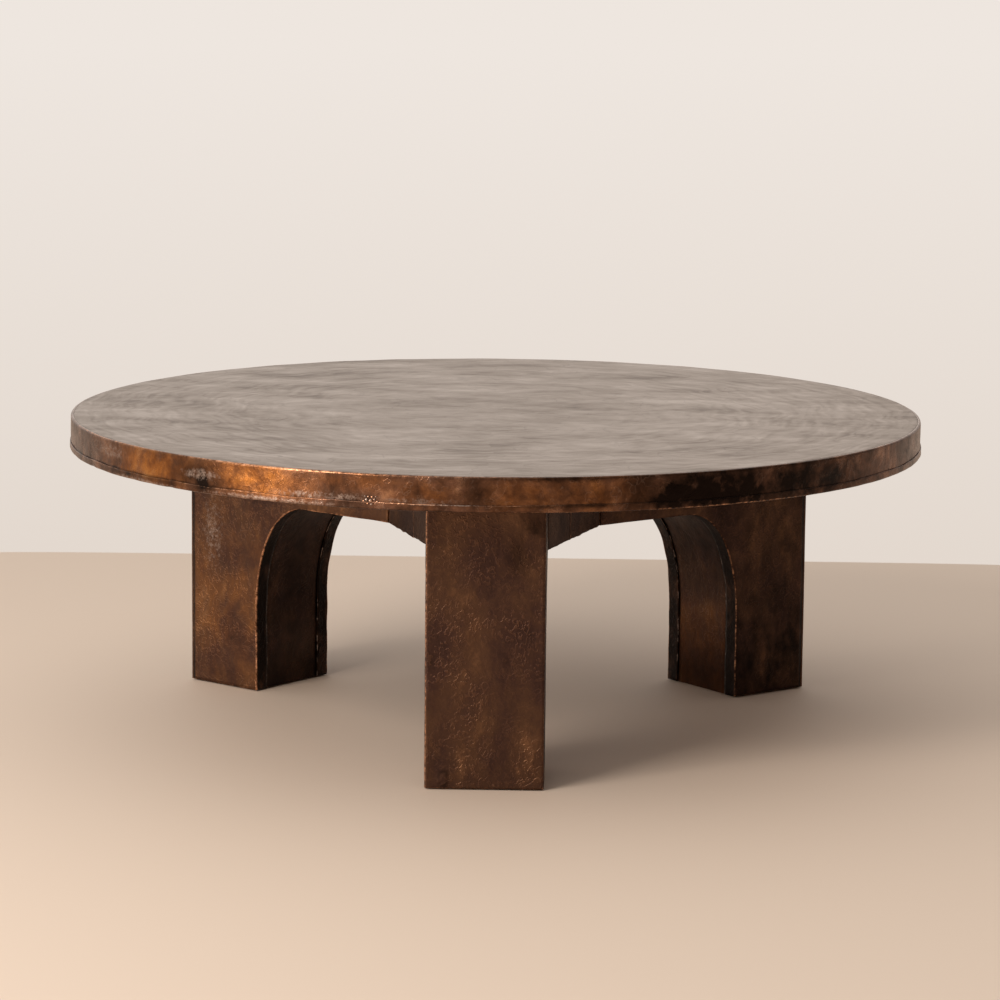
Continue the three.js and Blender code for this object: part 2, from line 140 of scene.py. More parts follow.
# %% aged copper recipe
# The layers painted on the points. Soot and grime also hold painted shade, bloom painted reflection and
# highlight, and wear a few painted highlights.
WORN_AND_HIGHLIT, GRIME_AND_SHADE, FLAMED, SOOT_AND_SHADE, BLOOM_AND_SHEEN = "wear_and_highlight", "grime_and_shade", "torched", "soot_and_shade", "bloom_and_sheen"  # the painted layers
BARE_COPPER = "#DCA27C"
GRIME_AND_SHADE_TONE = "#140B07"
FLAME_TONES = [(0.25, "#4A2C19"), (0.45, "#7D4C25"), (0.6, "#A56A33"), (0.8, "#CB9052")]
SOOT_AND_SHADE_TONE = "#1B110C"
BLOOM_AND_SHEEN_TONE = "#A39187"
# Sizes of the patterns that all three finishes share, in metres.
SWIRL_SIZE, RING_STEP, VEIN_PATCH, RAGGED_SIZE, SCUFF_SIZE = 0.11, 0.008, 0.07, 0.024, 0.006


def aged_copper(name, tones, cloud, fleck, vein, relief, gloss, rings=0.0):
    made, tree = empty_finish(name)
    spot = node(tree, "TexCoord").outputs["Object"]

    # A slow swirl bends every pattern, as the hammer never runs straight.
    swirl = node(tree, "TexNoise", {"Scale": 1 / SWIRL_SIZE, "Detail": 2.0}, {"Vector": spot})
    push = node(tree, "VectorMath", {1: (-0.5, -0.5, -0.5)}, {0: swirl.outputs["Color"]}, operation="ADD")
    bent = node(tree, "VectorMath", {1: (cloud["swirl"],) * 3}, {0: push.outputs[0], 2: spot},
                operation="MULTIPLY_ADD")
    stretched = node(tree, "Mapping", {"Scale": cloud["stretch"]}, {"Vector": bent.outputs[0]})

    # Tone of the oxide skin: broad clouds, then flecks of a few millimetres.
    clouds = node(tree, "TexNoise", {"Scale": 1 / cloud["size"], "Detail": 6.0, "Roughness": 0.6},
                  {"Vector": stretched.outputs[0]})
    flecks = node(tree, "TexNoise", {"Scale": 1 / fleck["size"], "Detail": 5.0, "Roughness": 0.65},
                  {"Vector": stretched.outputs[0]})
    fleck_tone = node(tree, "MapRange", {"From Min": 0.3, "From Max": 0.7, "To Min": -fleck["tone"],
                                         "To Max": fleck["tone"]}, {"Value": flecks.outputs["Fac"]})
    tone = node(tree, "Math", links={0: clouds.outputs["Fac"], 1: fleck_tone.outputs[0]}, operation="ADD")

    # Rings left where the sheet's edge was dressed down over the rim, only near the edge of a round sheet.
    flat_spot = node(tree, "SeparateXYZ", links={"Vector": bent.outputs[0]})
    radius = node(tree, "VectorMath", links={0: bent.outputs[0]}, operation="LENGTH")
    angle = node(tree, "Math", operation="ARCTAN2",
                 links={0: flat_spot.outputs["X"], 1: flat_spot.outputs["Y"]})
    ring_far = node(tree, "Math", {1: 1 / RING_STEP}, {0: radius.outputs["Value"]}, operation="MULTIPLY")
    ring_run = node(tree, "Math", {1: 5.0}, {0: angle.outputs[0]}, operation="MULTIPLY")
    ring_spot = node(tree, "CombineXYZ", links={"X": ring_far.outputs[0], "Y": ring_run.outputs[0]})
    ring_noise = node(tree, "TexNoise", {"Scale": 1.0, "Detail": 1.0}, {"Vector": ring_spot.outputs[0]})
    ring_place = node(tree, "MapRange", {"From Min": 0.4, "From Max": 0.57, "To Min": 0.0, "To Max": rings},
                      {"Value": radius.outputs["Value"]})
    ring_level = node(tree, "Math", {1: -0.5}, {0: ring_noise.outputs["Fac"]}, operation="ADD")
    ring_tone = node(tree, "Math", operation="MULTIPLY",
                     links={0: ring_level.outputs[0], 1: ring_place.outputs[0]})
    full_tone = node(tree, "Math", links={0: tone.outputs[0], 1: ring_tone.outputs[0]}, operation="ADD")
    skin = node(tree, "ValToRGB", links={"Fac": full_tone.outputs[0]}, stops=tones)

    # Hammer veins: thin contour lines of a noise, which meander like the marks of a planishing hammer.
    field = node(tree, "TexNoise", {"Scale": 1 / vein["size"], "Detail": 3.0, "Roughness": 0.55},
                 {"Vector": bent.outputs[0]})
    steps = node(tree, "Math", {1: vein["count"]}, {0: field.outputs["Fac"]}, operation="MULTIPLY")
    folded = node(tree, "Math", {1: 0.5}, {0: steps.outputs[0]}, operation="PINGPONG")
    line = node(tree, "MapRange", {"From Min": 0.0, "From Max": vein["width"], "To Min": 1.0, "To Max": 0.0},
                {"Value": folded.outputs[0]}, interpolation_type="SMOOTHSTEP")
    where = node(tree, "TexNoise", {"Scale": 1 / VEIN_PATCH, "Detail": 4.0}, {"Vector": spot})
    shown = node(tree, "MapRange", {"From Min": 0.33, "From Max": 0.62}, {"Value": where.outputs["Fac"]})
    veins = node(tree, "Math", links={0: line.outputs[0], 1: shown.outputs[0]}, operation="MULTIPLY")
    vein_tint = node(tree, "Math", {1: vein["tint"]}, {0: veins.outputs[0]}, operation="MULTIPLY")
    colour = node(tree, "Mix", {7: linear(vein["colour"])}, {0: vein_tint.outputs[0], 6: skin.outputs[0]},
                  data_type="RGBA")

    # Patches painted on the sheet, broken up by noise: torch colour, soot with painted shade, pale bloom with
    # painted reflection and highlight, then grime with painted shade.
    ragged = node(tree, "TexNoise", {"Scale": 1 / RAGGED_SIZE, "Detail": 5.0, "Roughness": 0.6},
                  {"Vector": stretched.outputs[0]})
    shift = node(tree, "MapRange", {"From Min": 0.25, "From Max": 0.75, "To Min": -0.6, "To Max": 0.6},
                 {"Value": ragged.outputs["Fac"]})
    scuff = node(tree, "TexNoise", {"Scale": 1 / SCUFF_SIZE, "Detail": 5.0, "Roughness": 0.75},
                 {"Vector": spot})
    rub = node(tree, "MapRange", {"From Min": 0.35, "From Max": 0.65, "To Min": -0.8, "To Max": 0.8},
               {"Value": scuff.outputs["Fac"]})

    def amount(layer, breaking, low, high):
        painted = node(tree, "Attribute", attribute_name=layer)
        broken = node(tree, "Math", operation="MULTIPLY_ADD",
                      links={0: breaking.outputs[0], 1: painted.outputs["Fac"], 2: painted.outputs["Fac"]})
        share = node(tree, "MapRange", {"From Min": low, "From Max": high}, {"Value": broken.outputs[0]})
        return share.outputs[0]

    torched_skin = node(tree, "ValToRGB", links={"Fac": full_tone.outputs[0]}, stops=FLAME_TONES).outputs[0]
    colour = node(tree, "Mix", data_type="RGBA",
                  links={0: amount(FLAMED, shift, 0.15, 1.2), 6: colour.outputs[2], 7: torched_skin})
    overlays = [(SOOT_AND_SHADE, SOOT_AND_SHADE_TONE, shift, 0.2, 0.95), (BLOOM_AND_SHEEN, BLOOM_AND_SHEEN_TONE, rub, 0.6, 1.9),
                (GRIME_AND_SHADE, GRIME_AND_SHADE_TONE, shift, 0.15, 0.85)]
    for layer, chart, breaking, low, high in overlays:
        colour = node(tree, "Mix", {7: linear(chart)}, data_type="RGBA",
                      links={0: amount(layer, breaking, low, high), 6: colour.outputs[2]})

    # Bare copper on folds and nicks, where the sheet stands proud and is rubbed, and on a few edges a painted
    # highlight in the same colour.
    bare_and_highlit = amount(WORN_AND_HIGHLIT, rub, 0.3, 1.1)
    colour = node(tree, "Mix", {7: linear(BARE_COPPER)}, {0: bare_and_highlit, 6: colour.outputs[2]}, data_type="RGBA")

    # Roughness: waxed skin is satin, bare metal is smoother, and the tones break both up.
    satin = node(tree, "MapRange", {"From Min": 0.3, "From Max": 0.7, "To Min": gloss[0], "To Max": gloss[1]},
                 {"Value": full_tone.outputs[0]})
    rough = node(tree, "Mix", {3: 0.28}, {0: bare_and_highlit, 2: satin.outputs[0]}, data_type="FLOAT")

    # Height in millimetres: hammer facets, veins, rings and fine scratches.
    dents = node(tree, "TexNoise", {"Scale": 1 / relief["facet_size"], "Detail": 2.0, "Roughness": 0.5},
                 {"Vector": stretched.outputs[0]})
    dented = node(tree, "Math", {1: relief["facets"]}, {0: dents.outputs["Fac"]}, operation="MULTIPLY")
    veined = node(tree, "Math", {1: relief["veins"]}, {0: veins.outputs[0], 2: dented.outputs[0]},
                  operation="MULTIPLY_ADD")
    ringed = node(tree, "Math", {1: 1.2}, {0: ring_tone.outputs[0], 2: veined.outputs[0]},
                  operation="MULTIPLY_ADD")
    grain = node(tree, "TexNoise", {"Scale": 1 / relief["grain_size"], "Detail": 4.0, "Roughness": 0.65},
                 {"Vector": stretched.outputs[0]})
    height = node(tree, "Math", {1: relief["grain"]}, {0: grain.outputs["Fac"], 2: ringed.outputs[0]},
                  operation="MULTIPLY_ADD")
    bump = node(tree, "Bump", {"Distance": MM, "Strength": 1.0}, {"Height": height.outputs[0]})

    shader = node(tree, "BsdfPrincipled", {"Metallic": 0.92},
                  {"Base Color": colour.outputs[2], "Roughness": rough.outputs[0], "Normal": bump.outputs[0]})
    node(tree, "OutputMaterial", links={"Surface": shader.outputs[0]})
    return made


# %% the copper finishes
# The top: copper brushed with a sulphur wash and waxed, pewter brown, streaked one way by the cloth.
top_copper = aged_copper(
    "brushed_pewter_patina_copper",
    [(0.22, "#6E6158"), (0.42, "#92857B"), (0.58, "#A3968D"), (0.8, "#BAAEA5")],
    cloud={"size": 0.07, "stretch": (0.42, 1.0, 1.0), "swirl": 0.055}, fleck={"size": 0.009, "tone": 0.07},
    vein={"size": 0.15, "count": 9.0, "width": 0.08, "tint": 0.35, "colour": "#6E6057"},
    relief={"veins": -0.35, "facets": 0.9, "facet_size": 0.05, "grain": 0.4, "grain_size": 0.006},
    gloss=(0.46, 0.36), rings=0.45)
# The rim: copper coloured by the torch, purple brown with orange flames, then waxed.
rim_copper = aged_copper(
    "torched_rim_copper",
    [(0.2, "#2C1D15"), (0.42, "#523A2D"), (0.58, "#71503F"), (0.8, "#AC8268")],
    cloud={"size": 0.04, "stretch": (1.0, 1.0, 1.0), "swirl": 0.04}, fleck={"size": 0.009, "tone": 0.07},
    vein={"size": 0.03, "count": 5.0, "width": 0.08, "tint": 0.2, "colour": "#B79B8B"},
    relief={"veins": 0.15, "facets": 0.9, "facet_size": 0.03, "grain": 0.35, "grain_size": 0.006},
    gloss=(0.36, 0.24))
# The legs: chocolate patina over a sheet embossed with upright veins.
leg_copper = aged_copper(
    "chocolate_patina_copper",
    [(0.15, "#271B14"), (0.4, "#46312A"), (0.6, "#5A4030"), (0.85, "#8E6648")],
    cloud={"size": 0.07, "stretch": (1.0, 1.0, 0.6), "swirl": 0.03}, fleck={"size": 0.01, "tone": 0.06},
    vein={"size": 0.017, "count": 6.0, "width": 0.22, "tint": 0.2, "colour": "#94684C"},
    relief={"veins": 0.32, "facets": 0.6, "facet_size": 0.02, "grain": 0.3, "grain_size": 0.005},
    gloss=(0.48, 0.36))
print("copper finishes:", top_copper.name, rim_copper.name, leg_copper.name)

# %% [markdown]
# ## Timber, steel and felt
# These stay as the CAD has them and are mostly hidden. Oak is drawn as growth rings cut lengthwise: bands
# across the grain, stretched along it, with fine pores. Zinc-plated steel is a pale metal with a fine
# crystal mottle. Felt is matted wool: rough, dark, and bumpy at a fraction of a millimetre.

# %% sawn oak
GROWTH_RING, PORE = 0.012, 0.0015


def sawn_oak(name, along):
    made, tree = empty_finish(name)
    spot = node(tree, "TexCoord").outputs["Object"]
    turned = node(tree, "Mapping", {"Rotation": (0, 0, -along), "Scale": (0.08, 1.0, 1.0)}, {"Vector": spot})
    rings = node(tree, "TexNoise", links={"Vector": turned.outputs[0]},
                 values={"Scale": 1 / GROWTH_RING, "Detail": 5.0, "Roughness": 0.6, "Distortion": 0.6})
    colour = node(tree, "ValToRGB", links={"Fac": rings.outputs["Fac"]},
                  stops=[(0.3, "#5B4029"), (0.5, "#7C5B3B"), (0.68, "#94714B")])
    pores = node(tree, "TexNoise", {"Scale": 1 / PORE, "Detail": 2.0}, {"Vector": turned.outputs[0]})
    bump = node(tree, "Bump", {"Distance": 0.2 * MM, "Strength": 0.8}, {"Height": pores.outputs["Fac"]})
    rough = node(tree, "MapRange", {"To Min": 0.6, "To Max": 0.85}, {"Value": rings.outputs["Fac"]})
    shader = node(tree, "BsdfPrincipled", {"IOR": 1.5},
                  {"Base Color": colour.outputs[0], "Roughness": rough.outputs[0], "Normal": bump.outputs[0]})
    node(tree, "OutputMaterial", links={"Surface": shader.outputs[0]})
    return made


# %% zinc-plated steel and felt
def mottled(name, stops, size, rough_range, bump_height, **shader_values):
    made, tree = empty_finish(name)
    spot = node(tree, "TexCoord").outputs["Object"]
    grain = node(tree, "TexNoise", {"Scale": 1 / size, "Detail": 5.0, "Roughness": 0.7}, {"Vector": spot})
    colour = node(tree, "ValToRGB", links={"Fac": grain.outputs["Fac"]}, stops=stops)
    rough = node(tree, "MapRange", {"To Min": rough_range[0], "To Max": rough_range[1]},
                 {"Value": grain.outputs["Fac"]})
    bump = node(tree, "Bump", {"Distance": bump_height, "Strength": 0.6}, {"Height": grain.outputs["Fac"]})
    shader = node(tree, "BsdfPrincipled", shader_values,
                  {"Base Color": colour.outputs[0], "Roughness": rough.outputs[0], "Normal": bump.outputs[0]})
    node(tree, "OutputMaterial", links={"Surface": shader.outputs[0]})
    return made


zinc_steel = mottled("zinc_plated_steel", [(0.3, "#8E9196"), (0.7, "#B4B7BA")], 0.003, (0.28, 0.5), 0.05 * MM,
                     Metallic=1.0)
wool_felt = mottled("wool_felt", [(0.3, "#1F1A17"), (0.7, "#38302B")], 0.0012, (0.9, 1.0), 0.4 * MM)
print("other finishes:", zinc_steel.name, wool_felt.name)

# %% dress the CAD nodes that stay
def centre(name):
    low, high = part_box(name)
    return (low + high) / 2


def dress(name, finish):
    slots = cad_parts[name].data.materials
    slots.clear()
    slots.append(finish)


LEG_TIMBER = ("arm_core", "leg_core", "dowel_outer", "dowel_inner")
legs = {}
for leg in ("front", "left", "right"):
    foot = centre(f"{leg}_foot_pad")
    outward = centre(f"{leg}_dowel_outer") - centre(f"{leg}_dowel_inner")
    turn = atan2(outward.y, outward.x)
    legs[leg] = Matrix.Translation((foot.x, foot.y, 0)) @ Matrix.Rotation(turn, 4, "Z")
    oak = sawn_oak(f"sawn_oak_{leg}", turn)
    for part in LEG_TIMBER:
        dress(f"{leg}_{part}", oak)
    print(leg, "leg stands at", [round(x, 4) for x in foot.xy], "and faces", round(degrees(turn), 1))
plank_oak = sawn_oak("sawn_oak_top", 0.0)
dressed = {"top_core": plank_oak, "left_gusset_block": plank_oak, "right_gusset_block": plank_oak,
           "tie_plate": zinc_steel}
dressed |= {f"tie_screw_{i}": zinc_steel for i in range(1, 7)}
dressed |= {f"{leg}_{bolt}": zinc_steel for leg in legs for bolt in ("leg_bolt", "top_bolt")}
dressed |= {f"{leg}_foot_pad": wool_felt for leg in legs}
for name, finish in dressed.items():
    dress(name, finish)
print("CAD nodes dressed:", len(dressed) + len(legs) * len(LEG_TIMBER))

# %% [markdown]
# ## Working sheet copper
# A sheet is drawn as a few faces with its outside where the CAD has it, folded by extruding an edge, and
# rounded at the fold by bevelling that edge. Planes then cut it into small squares, because only a mesh
# with points all over can be dented. Each point is pushed in or out by smooth noise, as a mallet would, and
# a Solidify modifier gives the sheet its thickness. Wear is painted on the points near each fold.

# %% sheet helpers
SHEET = 1.5
EDGE_GAP = 0.05  # no cut runs closer than this to a sheet's far edge


def cut_into_squares(bm, spacing):
    for axis in range(3):
        if not spacing[axis]:
            continue
        values = [v.co[axis] for v in bm.verts]
        normal = Vector([float(i == axis) for i in range(3)])
        place = (min(values) // spacing[axis] + 1) * spacing[axis]
        while place < max(values) - EDGE_GAP:
            parts = bm.verts[:] + bm.edges[:] + bm.faces[:]
            bmesh.ops.bisect_plane(bm, geom=parts, dist=0.01, plane_co=normal * place, plane_no=normal)
            place += spacing[axis]


def dent(bm, depth, size, seed, keep=None):
    bm.normal_update()
    pushes = []
    for v in bm.verts:
        amount = depth * noise.noise(v.co / size + Vector((seed, 2.3 * seed, -seed)))
        pushes.append(v.normal * amount * (keep(v.co) if keep else 1.0))
    for v, push in zip(bm.verts, pushes):
        v.co += push


def paint(bm, layer_name, amount):
    layer = bm.verts.layers.float.get(layer_name) or bm.verts.layers.float.new(layer_name)
    for v in bm.verts:
        v[layer] = max(v[layer], amount(v.co))


def near(distance, width):
    return exp(-(distance / width) ** 2)


def flakes(co, size, seed):
    return 0.5 + noise.noise(co / size + Vector((seed, seed, seed)))


def as_object(name, bm, material):
    mesh = bpy.data.meshes.new(name)
    bm.to_mesh(mesh)
    bm.free()
    mesh.materials.append(material)
    made = bpy.data.objects.new(name, mesh)
    bpy.context.scene.collection.objects.link(made)
    return made


def finish_sheet(name, bm, place, material, nodes, thickness=SHEET):
    bmesh.ops.transform(bm, matrix=place @ Matrix.Scale(MM, 4), verts=bm.verts)
    piece = as_object(name, bm, material)
    faces = piece.data.polygons
    faces.foreach_set("use_smooth", [True] * len(faces))
    if thickness:
        wall = piece.modifiers.new("sheet_thickness", "SOLIDIFY")
        wall.thickness = thickness * MM
        wall.offset = -1.0
    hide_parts(*nodes)
    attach(piece, "root")
    print(name, "has", len(faces), "faces")


# %% [markdown]
# ## The round top sheet
# The top is one flat sheet that was planished, struck all over with a flat hammer, so it is level to the
# hand but never quite flat to the eye. A disc could be one face, but a reflection only wavers if the
# surface does. So a row of points is spun into rings, and each point is lowered a little by slow noise.

# %% top sheet
WHOLE = Matrix.Identity(4)
top_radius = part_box("top_sheet")[1].x / MM
table_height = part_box("top_sheet")[1].z / MM
bm = bmesh.new()
RINGS, TURNS = 56, 360
spokes = [top_radius * i / RINGS for i in range(RINGS)] + [top_radius - 1.2, top_radius - 0.3, top_radius]
drops = [0.0] * RINGS + [0.0, 0.15, 0.6]
row = [bm.verts.new((r, 0, table_height - d)) for r, d in zip(spokes, drops)]
rail = [bm.edges.new(pair) for pair in zip(row, row[1:])]
bmesh.ops.spin(bm, geom=row + rail, cent=(0, 0, 0), axis=(0, 0, 1), angle=2 * pi, steps=TURNS,
               use_merge=True)
bmesh.ops.remove_doubles(bm, verts=bm.verts, dist=0.02)
bmesh.ops.recalc_face_normals(bm, faces=bm.faces)
if sum(f.normal.z for f in bm.faces) < 0:
    bmesh.ops.reverse_faces(bm, faces=bm.faces)
SLOW_DIP, QUICK_DIP = 0.28, 0.14
for v in bm.verts:
    slow = noise.noise(Vector((v.co.x / 130, v.co.y / 60, 1.7)))
    quick = noise.noise(Vector((v.co.x / 45, v.co.y / 24, 8.1)))
    v.co.z -= SLOW_DIP * (slow + 1) / 2 + QUICK_DIP * (quick + 1) / 2
paint(bm, GRIME_AND_SHADE, lambda co: 0.35 * near(top_radius - hypot(co.x, co.y), 1.6))
finish_sheet("top_copper_sheet", bm, WHOLE, top_copper, ["top_sheet"], 1.0)

# %% [markdown]
# ## The rim band
# A long strip stands round the edge, folded in over the top at a small lip. Its section is a short bent
# line, so spinning that line round the table makes the whole band with a properly rounded edge. The
# torched patches run round it: flame orange towards the front left, soot in front on the right, and a grey
# bloom on both sides. The grey on the left and right sides, at -84 and 82 degrees, is a painted reflection
# of the pale wall, and the bare copper along the top edge at the front left is partly a painted highlight.
# They are painted by bearing, so they stay on the metal from every side. A patch is a row of five: its
# middle and half width in degrees, its height and half height in mm, and its strength.

# %% rim section and bearing
rim_low, rim_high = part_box("rim_band")
rim_radius, rim_foot, rim_top = rim_high.x / MM, rim_low.z / MM, rim_high.z / MM
LIP, EDGE_RADIUS = 4.0, 2.6
HEM_LINE = 407.5  # the height where the hem's upper edge lies on the band
STEPS_ROUND = 900


def spun(section):
    bm = bmesh.new()
    row = [bm.verts.new((r, 0, z)) for r, z in section]
    rail = [bm.edges.new(pair) for pair in zip(row, row[1:])]
    bmesh.ops.spin(bm, geom=row + rail, cent=(0, 0, 0), axis=(0, 0, 1), angle=2 * pi, steps=STEPS_ROUND,
                   use_merge=True)
    bmesh.ops.recalc_face_normals(bm, faces=bm.faces)
    outward = sum(f.normal.xy.dot(f.calc_center_median().xy) for f in bm.faces)
    if outward < 0:
        bmesh.ops.reverse_faces(bm, faces=bm.faces)
    return bm


def bearing(co):
    return degrees(atan2(co.x, -co.y))  # 0 at the front, 90 on the right, -90 on the left


def patches(co, places):
    found = 0.0
    for middle, half_width, height, half_height, strength in places:
        away = (bearing(co) - middle + 180) % 360 - 180
        found = max(found, strength * near(away, half_width) * near(co.z - height, half_height))
    return found


def along_rim(co, size, seed):
    # Noise that follows the strip: length round the rim, then height.
    run = radians(bearing(co)) * rim_radius
    return noise.noise(Vector((run / size[0], co.z / size[1], seed)))


# %% rim band
bend = [(rim_radius - EDGE_RADIUS * (1 - cos(a)), rim_top - EDGE_RADIUS * (1 - sin(a)))
        for a in (pi / 2 * i / 6 for i in range(6, -1, -1))]
wall = [(rim_radius, rim_foot + (rim_top - EDGE_RADIUS - rim_foot) * i / 14) for i in range(13, -1, -1)]
bm = spun([(rim_radius - LIP, rim_top)] + bend + wall)
for v in bm.verts:
    out = Vector((v.co.x, v.co.y, 0)).normalized()
    lower = max(0.0, min(1.0, (rim_top - v.co.z) / 6))
    ripple = 0.55 * along_rim(v.co, (90, 60), 3.1) + 0.4 * along_rim(v.co, (26, 17), 5.2)
    v.co += out * (ripple * lower - 0.2)
    v.co.z -= 0.35 * (1 + along_rim(v.co, (60, 400), 9.4)) * (1 - lower)
FLAMES = [(-49, 11, 418, 40, 1.2), (-30, 9, 424, 34, 1.05), (-17, 8, 432, 16, 0.6), (-7, 6, 420, 26, 0.55),
          (4, 8, 418, 34, 0.62), (14, 9, 418, 34, 0.66), (150, 18, 420, 30, 0.9), (-140, 22, 420, 30, 0.9)]
SOOTS = [(29, 13, 412, 40, 1.1), (44, 15, 415, 40, 0.9), (-66, 7, 415, 30, 0.6), (0, 7, 440, 7, 0.5),
         (11, 9, 441, 6, 0.7), (-1, 4, 424, 30, 0.7), (-38.5, 4, 414, 24, 1.0), (120, 20, 415, 40, 0.6),
         (-105, 12, 418, 40, 0.4), (180, 16, 415, 40, 0.7)]
# Grey bloom patches; the two at -84 and 82 degrees are a painted reflection of the pale wall on the band's
# sides, the rest are scuffs.
BLOOMS_AND_SIDE_REFLECTIONS = [(-20, 9, 410, 8, 1.0), (-38.5, 4, 421, 9, 1.15), (-58, 5, 428, 14, 1.05), (-84, 14, 420, 40, 1.0),
          (82, 16, 420, 40, 1.0), (-8, 6, 409, 6, 0.9), (130, 16, 410, 12, 0.9), (-160, 14, 412, 12, 0.9)]
paint(bm, FLAMED, lambda co: patches(co, FLAMES))
paint(bm, SOOT_AND_SHADE, lambda co: patches(co, SOOTS))
paint(bm, BLOOM_AND_SHEEN, lambda co: patches(co, BLOOMS_AND_SIDE_REFLECTIONS) + 1.5 * (hypot(co.x, co.y) < rim_radius - 2.4))
# Bare copper along the top edge; the strongest stretch, at -27 degrees, is partly wear and partly a painted
# highlight of the key softbox.
EDGE_WEAR_AND_HIGHLIGHT = [(-27, 15, rim_top, 2.4, 1.2), (-60, 22, rim_top, 1.6, 0.75), (-5, 12, rim_top, 1.4, 0.6),
             (60, 30, rim_top, 1.2, 0.4), (-150, 60, rim_top, 1.8, 0.8), (150, 40, rim_top, 1.4, 0.6)]
paint(bm, WORN_AND_HIGHLIT, lambda co: patches(co, EDGE_WEAR_AND_HIGHLIGHT) * (hypot(co.x, co.y) > rim_radius - 2.2))
crease = lambda co: near(co.z - HEM_LINE, 1.6) * (0.15 + 0.5 * near(bearing(co) + 62, 40))
paint(bm, GRIME_AND_SHADE, lambda co: crease(co) * (0.4 + flakes(co, 40, 4)))
finish_sheet("rim_copper_band", bm, WHOLE, rim_copper, ["rim_band"], 1.2)

# %% [markdown]
# ## The rim hem
# A second strip hides the band's lower edge. It stands 10 mm up the band and turns in under the top. It was
# dressed down by eye, so its upper edge wanders and its lower corner is nicked. It is spun like the band,
# then its points are moved up and down and in and out by noise, and nicks are pressed in at a few bearings.

# %% rim hem
hem_low, hem_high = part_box("rim_hem")
hem_radius, hem_foot, hem_top = hem_high.x / MM, hem_low.z / MM, hem_high.z / MM
HEM_BEND, HEM_INNER = 2.4, hem_radius - 33.8
corner = [(hem_radius - HEM_BEND * (1 - cos(a)), hem_foot + HEM_BEND * (1 - sin(a)))
          for a in (pi / 2 * i / 5 for i in range(0, 6))]
upright = [(hem_radius, hem_top - (hem_top - hem_foot - HEM_BEND) * i / 6) for i in range(0, 6)]
under = [(hem_radius - HEM_BEND - i * 4.0, hem_foot) for i in range(1, 8)] + [(HEM_INNER, hem_foot)]
bm = spun(upright + corner + under)
# Each nick is a row of its bearing, its width in degrees and its depth.
NICKS = [(-6.7, 0.35, 1.3), (-5.2, 0.2, 0.8), (2.5, 0.25, 0.9), (-33, 0.8, 1.0), (-44, 0.5, 1.2),
         (33, 0.6, 0.8), (12, 0.3, 0.6), (-64, 0.7, 1.0), (95, 0.8, 1.1), (160, 0.6, 1.1), (-120, 0.9, 1.0)]
for v in bm.verts:
    out = Vector((v.co.x, v.co.y, 0)).normalized()
    face = max(0.0, min(1.0, (hypot(v.co.x, v.co.y) - hem_radius + 6) / 4))
    raised = (v.co.z - hem_foot) / (hem_top - hem_foot)
    dip = sum(depth * near(bearing(v.co) - middle, width) for middle, width, depth in NICKS)
    v.co -= out * face * (0.45 * (1 + along_rim(v.co, (34, 9), 6.6)) * 0.9 + 0.5 * dip)
    v.co.z += raised * (1.5 * along_rim(v.co, (75, 900), 2.2) + 0.6 * along_rim(v.co, (19, 900), 4.9))
    v.co.z += (1 - raised) * face * (0.35 * (1 + along_rim(v.co, (26, 900), 7.7)) + 0.7 * dip)
HEM_EDGE = [(-9, 5, hem_top, 1.2, 1.0), (4, 6, hem_top, 1.2, 0.6), (-35, 12, hem_top, 1.4, 0.55),
            (-30, 12, hem_foot, 2.2, 0.7), (8, 6, hem_foot, 1.6, 0.8), (32, 16, hem_foot + 1, 1.6, 0.65),
            (-60, 10, hem_top, 1.2, 0.5), (110, 40, hem_top, 1.2, 0.6), (-150, 40, hem_foot, 2.5, 0.7)]
paint(bm, WORN_AND_HIGHLIT, lambda co: patches(co, HEM_EDGE))
# Pale bloom on the hem: the band at -27 degrees is partly scratches and partly a painted highlight, the grey
# at -84 and 82 degrees a painted reflection of the pale wall, the rest scuffs.
HEM_BLOOMS_AND_SHEEN = [(-27, 11, 398.5, 6, 1.35), (-6, 7, 406.5, 2.5, 1.7), (-50, 10, 397, 5, 1.2),
              (-84, 14, 400, 40, 1.0), (82, 16, 400, 40, 1.0), (-150, 30, 400, 8, 1.2)]
HEM_SOOTS = [(-52, 13, 403, 6, 0.75), (12, 9, 405, 4, 0.8), (0, 24, 396, 5, 0.4)]
paint(bm, FLAMED, lambda co: 0.8 * patches(co, FLAMES))
paint(bm, BLOOM_AND_SHEEN, lambda co: patches(co, HEM_BLOOMS_AND_SHEEN))
turned_in = lambda co: hypot(co.x, co.y) < hem_radius - 5
paint(bm, SOOT_AND_SHADE, lambda co: max(0.9 * patches(co, SOOTS + HEM_SOOTS), 0.9 * turned_in(co)))
finish_sheet("rim_copper_hem", bm, WHOLE, rim_copper, ["rim_hem"], 1.2)

# %% [markdown]
# ## A spatter of solder
# Just left of the front, molten metal splashed on the rim and froze in a cluster of small bright beads.
# Each bead is a squashed icosphere, its middle a little outside the band, so the beads beside the hem sink
# into it. They grow smaller away from the middle of the cluster.

# %% solder beads
bm = bmesh.new()
